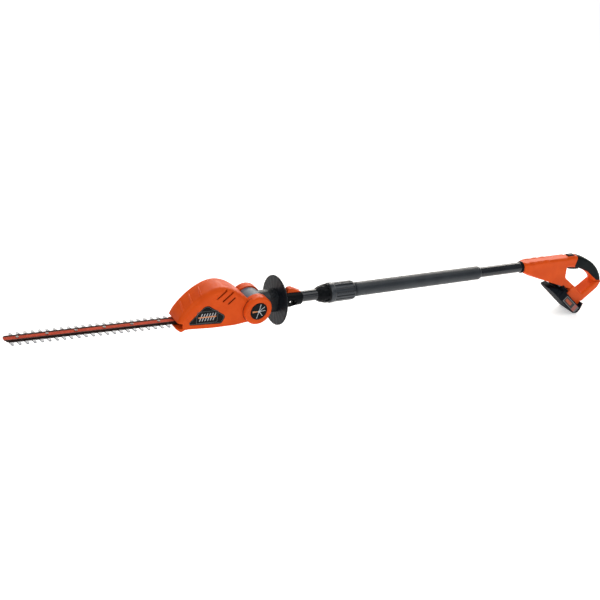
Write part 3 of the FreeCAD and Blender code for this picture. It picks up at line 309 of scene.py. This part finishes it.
LOOKS = {
    orange: "head_shell_near head_shell_far release_latch handle_shell_near handle_shell_far",
    black: "head_badges motor_end_cap pivot_cap pivot_lock_button pole_coupler collar_nose pole_spigot"
           " lead_plug lead_socket trigger handle_ring",
    matte_black: "battery_cradle pack_lower_case pack_upper_case",
    charcoal: "lock_off_button",
    disc_look: "guard_disc",
    knuckle_look: "pivot_knuckle",
    grey: "gear_plate lock_collet power_switch contact_block pack_release_button",
    sleeve_grey: "collar_sleeve",
    rubber: "grip_overmould",
    dark_steel: "blade_bolts blade_nuts",
    steel: "head_screws motor_can motor_armature motor_shaft gear_pin crank_gear"
           " motor_pinion pivot_shaft pivot_lock_spring latch_pin latch_spring handle_screws trigger_pin"
           " trigger_spring lock_off_spring pack_release_spring",
    brass: "motor_bush pivot_bush contact_blades",
    cable: "front_lead rear_lead",
    wrap: "battery_cells",
    plate_look: "pack_side_plates",
    tube_paint: "front_tube rear_tube",
    foam: "foam_grip",
    bar_paint: "blade_bar",
    tooth_steel: "upper_blade lower_blade",
}
for look, names in LOOKS.items():
    for name in names.split():
        slots = nodes[name].data.materials
        slots.clear()
        slots.append(look.material)


# ---------------------------------------------------------------------------- detailed pieces


def add(name, mesh, look, body, replaced=()):
    """Put a finished mesh or curve into the scene on its body."""
    thing = bpy.data.objects.new(name, mesh)
    bpy.context.scene.collection.objects.link(thing)
    mesh.materials.append(look.material)
    if replaced:
        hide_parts(*replaced)
    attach(thing, body)
    return thing


def smooth(mesh):
    for face in mesh.polygons:
        face.use_smooth = True


def swollen(name, centre, along, across, out, sizes, look, body, power=2.6):
    """Rounded raised pad: a cushion-shaped closed mesh half sunk in the surface it sits on."""
    shape = bmesh.new()
    bmesh.ops.create_cube(shape, size=2.0)
    bmesh.ops.subdivide_edges(shape, edges=shape.edges, cuts=9, use_grid_fill=True)
    for vertex in shape.verts:
        spread = sum(abs(value) ** power for value in vertex.co) ** (1 / power)
        vertex.co /= spread
    axes = [Vector(axis).normalized() for axis in (along, across, out)]
    for vertex in shape.verts:
        vertex.co = Vector(centre) + sum((axis * size * 0.001 * value
                                          for axis, size, value in zip(axes, sizes, vertex.co)), Vector())
    bmesh.ops.recalc_face_normals(shape, faces=shape.faces)
    mesh = bpy.data.meshes.new(name)
    shape.to_mesh(mesh)
    smooth(mesh)
    return add(name, mesh, look, body)


def plate(name, outlines, thickness, look, body, bevel=0.2):
    """Flat closed shapes, each from its corners and pushed back along a vector, with softened edges."""
    shape = bmesh.new()
    for outline in outlines:
        front = [shape.verts.new(corner) for corner in outline]
        rear = [shape.verts.new(corner + thickness) for corner in outline]
        shape.faces.new(front)
        shape.faces.new(rear[::-1])
        for i in range(len(front)):
            j = (i + 1) % len(front)
            shape.faces.new((front[i], rear[i], rear[j], front[j]))
    bmesh.ops.recalc_face_normals(shape, faces=shape.faces)
    mesh = bpy.data.meshes.new(name)
    shape.to_mesh(mesh)
    thing = add(name, mesh, look, body)
    edge = thing.modifiers.new("edge", "BEVEL")
    edge.width = bevel * 0.001
    edge.segments = 2
    edge.limit_method = "ANGLE"
    return thing


def strand(name, paths, radius, look, body, closed=False):
    """Thin round bead along smooth paths."""
    curve = bpy.data.curves.new(name, "CURVE")
    curve.dimensions = "3D"
    curve.bevel_depth = radius * 0.001
    curve.bevel_resolution = 3
    curve.use_fill_caps = not closed
    for path in paths:
        spline = curve.splines.new("POLY")
        spline.points.add(len(path) - 1)
        for point, place in zip(spline.points, path):
            point.co = (*place, 1.0)
        spline.use_cyclic_u = closed
    return add(name, curve, look, body)


def spun(name, frame_of, profile, look, body, steps=96, ripple=None, replaced=()):
    """Closed ring-shaped mesh from a (along, radius) profile turned about the pole."""
    rows = []
    for along, radius in profile:
        row = []
        for k in range(steps):
            angle = 2 * math.pi * k / steps
            r = radius + (ripple(along, angle) if ripple else 0.0)
            row.append(frame_of(along, r * math.cos(angle), r * math.sin(angle)))
        rows.append(row)
    verts = [place for row in rows for place in row]
    faces = []
    for i in range(len(rows)):
        j = (i + 1) % len(rows)
        for k in range(steps):
            m = (k + 1) % steps
            faces.append((i * steps + k, j * steps + k, j * steps + m, i * steps + m))
    mesh = bpy.data.meshes.new(name)
    mesh.from_pydata(verts, [], faces)
    shape = bmesh.new()
    shape.from_mesh(mesh)
    bmesh.ops.recalc_face_normals(shape, faces=shape.faces)
    shape.to_mesh(mesh)
    smooth(mesh)
    return add(name, mesh, look, body, replaced)


# foam sleeve, crowned a little, with pulled-in ends

foam_low, foam_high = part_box("foam_grip")
foam_start = (foam_low[0] - AXIS[0]) * 1000
foam_end = (foam_high[0] - AXIS[0]) * 1000
foam_radius = (foam_high[2] - foam_low[2]) * 500
profile = [(foam_start, 16.0)]
for i in range(81):
    share = i / 80
    fall = max(0.0, 1 - min(share, 1 - share) * (foam_end - foam_start) / 6.0)
    profile.append((foam_start + share * (foam_end - foam_start),
                    foam_radius - 2.6 * fall ** 2.5 - 0.15 + 0.12 * math.sin(i * 0.9)))
profile.append((foam_end, 16.0))
sleeve = spun("foam_sleeve", pole, profile, foam, "handle", replaced=("foam_grip",))


def skin(*names):
    """Outer surface of some CAD nodes, for putting details on."""
    corners, faces = [], []
    for name in names:
        thing = nodes[name]
        first = len(corners)
        corners += [thing.matrix_world @ vertex.co for vertex in thing.data.vertices]
        faces += [[first + index for index in face.vertices] for face in thing.data.polygons]
    return BVHTree.FromPolygons(corners, faces)


def bead(name, paths, look, body):
    """Raised ridges along paths of (place, radius), fading out at their ends."""
    curve = bpy.data.curves.new(name, "CURVE")
    curve.dimensions = "3D"
    curve.bevel_depth = 0.001
    curve.bevel_resolution = 4
    curve.use_fill_caps = True
    for path in paths:
        spline = curve.splines.new("POLY")
        spline.points.add(len(path) - 1)
        for point, (place, radius) in zip(spline.points, path):
            point.co = (*place, 1.0)
            point.radius = radius
    return add(name, curve, look, body)


# head: three ribs across the nose, a thin bead of painted shade in the groove beside each lobe, ridges by the
# vents and strips of painted shade along the vent slots

head_skin = skin("head_shell_near", "head_shell_far")
ribs = []
for x, z, slope in ((-242.5, 55.5, 33), (-267.0, 36.5, 44), (-288.5, 13.5, 53)):
    lean = math.radians(slope)
    outward = head(0, 0, 0) - head(math.sin(lean), 0, -math.cos(lean))
    outward.normalize()
    forward = (head(-math.cos(lean), 0, -math.sin(lean)) - head(0, 0, 0)).normalized()
    path = []
    for i in range(25):
        y = 20 - 53 * i / 24
        start = head(x, y, z) + outward * 0.05 + forward * (0.00026 * (-6 - y))
        hit, normal, _, _ = head_skin.ray_cast(start, -outward)
        if hit is None:
            continue
        rise = math.sin(math.pi * (i + 1) / 26)
        path.append((hit - normal * 0.001 * (3.2 - 2.6 * rise), 3.2 * min(1.0, rise * 2.5)))
    ribs.append(path)
bead("nose_ribs", ribs, orange, "head")

for side, sign in (("near", -1), ("far", 1)):
    # painted shade: a thin near-black bead round the base of each lobe, where the groove lies in shade
    arc = []
    for i in range(40):
        angle = math.radians(118 + i * 3.2)
        arc.append((head(PIVOT_X + 42.4 * math.cos(angle), sign * 38.0, 42.4 * math.sin(angle)),
                    0.6 * math.sin(math.pi * (i + 0.5) / 40) ** 0.4))
    bead("lobe_painted_shade_" + side, [arc], dark, "head")
    ridges = []
    for k in range(4):
        x0, z0 = -221 + k * 4.0, 38.5 + k * 0.5
        path = []
        for i in range(14):
            x, z = x0 + i * 1.5, z0 + i * 1.5
            hit, normal, _, _ = head_skin.ray_cast(head(x, sign * 80, z), Vector((0, -sign, 0)))
            if hit is not None:
                path.append((hit - normal * 0.0004, 0.9 * math.sin(math.pi * (i + 0.5) / 14) ** 0.5))
        ridges.append(path)
    bead("vent_ridges_" + side, ridges, orange, "head")
    # painted shade: near-black strips along the vent slots, standing in for the shade inside them
    slots = []
    for x0, z0, x1, z1 in ((-204, 45, -172, 72), (-185, 36, -157, 62), (-169, 26, -149, 45)):
        path = []
        for i in range(22):
            hit, normal, _, _ = head_skin.ray_cast(
                head(x0 + (x1 - x0) * i / 21, sign * 80, z0 + (z1 - z0) * i / 21), Vector((0, -sign, 0)))
            if hit is not None and abs(hit.y) > 0.012:
                path.append((hit - normal * 0.0009, 1.5 * math.sin(math.pi * (i + 0.5) / 22) ** 0.4))
        slots.append(path)
    bead("vent_painted_shade_" + side, slots, dark, "head")

# badges: thin border and a plain row of slanted strokes over a line

BADGE_FACE = 38.5
BADGE = [(-281.0, -23.6, 4), (-233.0, 27.6, 13), (-174.6, -9.5, 8), (-184.0, -28.0, 5)]


def rounded(corners, steps=8):
    """Corner points of (x, z, radius) as a closed smooth path."""
    path = []
    for i, (x, z, radius) in enumerate(corners):
        here = Vector((x, z))
        before = (Vector(corners[i - 1][:2]) - here).normalized()
        after = (Vector(corners[(i + 1) % len(corners)][:2]) - here).normalized()
        reach = radius / math.tan(before.angle(after) / 2)
        start, end = here + before * reach, here + after * reach
        for k in range(steps + 1):
            t = k / steps
            path.append((1 - t) ** 2 * start + 2 * t * (1 - t) * here + t * t * end)
    return path


for side, sign in (("near", -1), ("far", 1)):
    face = sign * BADGE_FACE
    strand("badge_border_" + side, [[head(point.x, face, point.y) for point in rounded(BADGE)]], 0.4,
           border_grey, "head", closed=True)
    strokes = []
    for k in range(6):
        x = -250.0 + k * 8.0
        strokes.append([head(a, face + sign * 0.15, b) for a, b in
                        ((x, -17.5), (x + 2.6, -17.5), (x + 9.0, 4.5), (x + 6.4, 4.5))])
    plate("badge_strokes_" + side, strokes, Vector((0, -sign * 0.0006, 0)), silver, "head")
    line = [head(a, face + sign * 0.3, b)
            for a, b in ((-253, -8.2), (-200, -8.2), (-200, -4.8), (-253, -4.8))]
    plate("badge_line_" + side, [line], Vector((0, -sign * 0.0008, 0)), pale_orange, "head")
    frame_path = rounded([(-257.5, -23.0, 2.5), (-257.5, 10.8, 2.5),
                          (-196.0, 10.8, 2.5), (-196.0, -24.0, 2.5)])
    strand("badge_frame_" + side, [[head(point.x, face, point.y) for point in frame_path]], 0.45,
           border_grey, "head", closed=True)

# pivot dial: radiating spokes, one of them short, wide and orange

spokes, pointer = [], []
for degrees, reach in ((82, 21.5), (40, 20.5), (5, 19.0), (-50, 18.5), (-104, 21.5), (181, 20.0)):
    angle = math.radians(degrees)
    along = Vector((math.cos(angle), math.sin(angle)))
    side = Vector((-along.y, along.x))
    wide = 2.6 if degrees == 181 else 1.0
    corners = [along * 2.0 + side * 0.8, along * reach + side * wide, along * reach - side * wide,
               along * 2.0 - side * 0.8]
    (pointer if degrees == 181 else spokes).append([head(PIVOT_X + c.x, -51.75, c.y) for c in corners])
plate("dial_spokes", spokes, Vector((0, 0.0008, 0)), silver, "lock_button")
plate("dial_pointer", pointer, Vector((0, 0.0008, 0)), pale_orange, "lock_button")
hub = rounded([(-3.2, -2.8, 1.6), (3.2, -2.8, 1.6), (3.2, 2.8, 1.6), (-3.2, 2.8, 1.6)])
plate("dial_hub", [[head(PIVOT_X + p.x, -52.1, p.y) for p in hub]], Vector((0, 0.0010, 0)), silver,
      "lock_button")

# handle: three finger bumps on top, a crease before the grip and the seam of the lower arm

handle_skin = skin("handle_shell_near", "handle_shell_far")
for side, sign in (("near", -1), ("far", 1)):
    for i, x in enumerate((919, 950, 981)):
        hit, normal, _, _ = handle_skin.ray_cast(pole(x, sign * 14, 60), Vector((0, 0, -1)))
        if hit is not None:
            swollen(f"top_bump_{side}_{i}", hit - normal * 0.0012, (1, 0, 0),
                    Vector((1, 0, 0)).cross(normal), normal, (12.0, 5.5, 3.2 if sign < 0 else 2.2),
                    orange, "handle", 2.2)
for side, sign in (("near", -1), ("far", 1)):
    lines = []
    for outline in ([(1061, 17), (1060, 6), (1060, -8), (1062, -24)],
                    [(1119, -83), (1110, -97), (1100, -110)]):
        path = []
        for (x_from, z_from), (x_to, z_to) in zip(outline, outline[1:]):
            for i in range(12):
                x = x_from + (x_to - x_from) * i / 12
                z = z_from + (z_to - z_from) * i / 12
                hit, normal, _, _ = handle_skin.ray_cast(pole(x, sign * 80, z), Vector((0, -sign, 0)))
                if hit is not None and abs(hit.y) < 0.024:
                    path.append((hit - normal * 0.0005, 0.9))
        if len(path) > 2:
            lines.append(path)
    bead("handle_creases_" + side, lines, orange, "handle")

# ------------------------------------------------------------------------ floor, light and camera


def lamp(name, place, target, size, power, colour=(1, 1, 1)):
    light = bpy.data.lights.new(name, "AREA")
    light.shape = "RECTANGLE"
    light.size, light.size_y = size
    light.energy = power
    light.color = colour
    thing = bpy.data.objects.new(name, light)
    bpy.context.scene.collection.objects.link(thing)
    thing.location = place
    thing.rotation_euler = (Vector(target) - Vector(place)).to_track_quat("-Z", "Y").to_euler()


floor_mesh = bpy.data.meshes.new("floor")
floor_mesh.from_pydata([(-40, -40, 0), (40, -40, 0), (40, 40, 0), (-40, 40, 0)], [], [(0, 1, 2, 3)])
floor = bpy.data.objects.new("floor", floor_mesh)
bpy.context.scene.collection.objects.link(floor)
floor.location.z = cad_box[0][2] - 0.001
floor_look = Shader("floor", 0.9, specular=0.1)
floor_look.mottle((0.93, 0.93, 0.93), (0.95, 0.95, 0.95), 1.0)
floor_look.shader.inputs["Emission Color"].default_value = (1.0, 1.0, 1.0, 1.0)
floor_x, floor_y, _ = floor_look.shifted((0.0, 0.0, 0.0))
away = floor_look.math("SQRT", floor_look.math("ADD", floor_look.math("MULTIPLY", floor_x, floor_x),
                                               floor_look.math("MULTIPLY", floor_y, floor_y)))
glow = floor_look.node("ShaderNodeMapRange", interpolation_type="SMOOTHSTEP")
glow.inputs["From Min"].default_value = 1200.0
glow.inputs["From Max"].default_value = 3200.0
glow.inputs["To Min"].default_value = 0.45
glow.inputs["To Max"].default_value = 0.80
floor_look.link(away, glow.inputs["Value"])
floor_look.link(glow.outputs[0], floor_look.shader.inputs["Emission Strength"])
floor_mesh.materials.append(floor_look.material)

world = bpy.data.worlds.new("studio")
bpy.context.scene.world = world
world.use_nodes = True
world.node_tree.nodes["Background"].inputs["Color"].default_value = (1.0, 1.0, 1.0, 1.0)
world.node_tree.nodes["Background"].inputs["Strength"].default_value = 0.20
lamp("top_light", (0.2, 0.2, 2.6), (0.0, 0.0, 0.1), (5.0, 1.2), 40.0)
lamp("left_light", (-3.0, -1.6, 2.4), (0.0, 0.0, 0.1), (1.8, 1.8), 40.0)
lamp("front_light", (0.8, -3.6, 1.4), (0.2, 0.0, 0.1), (3.0, 1.2), 16.0)
lamp("back_light", (1.6, 2.5, 1.55), (0.0, 0.0, 0.1), (5.0, 1.3), 120.0, (1.0, 0.95, 0.88))
bpy.context.scene.view_settings.view_transform = "Standard"

camera_data = bpy.data.cameras.new("camera")
camera_data.lens = 69.0
camera_data.sensor_width = 36.0
camera_data.clip_end = 200.0
camera = bpy.data.objects.new("camera", camera_data)
bpy.context.scene.collection.objects.link(camera)
CAMERA_ACROSS, CAMERA_UP, CAMERA_BACK = 0.06946, -0.00040, 3.20772
turn, rise, roll = math.radians(-32.92), math.radians(26.21), math.radians(8.24)
back = Vector((math.sin(turn) * math.cos(rise), -math.cos(turn) * math.cos(rise), math.sin(rise)))
right = (-back).cross(Vector((0, 0, 1))).normalized()
up = right.cross(-back)
across = right * math.cos(roll) + up * math.sin(roll)
upward = up * math.cos(roll) - right * math.sin(roll)
place = AXIS + across * CAMERA_ACROSS + upward * CAMERA_UP + back * CAMERA_BACK
camera.matrix_world = Matrix.Translation(place) @ Matrix((across, upward, back)).transposed().to_4x4()
bpy.context.scene.camera = camera
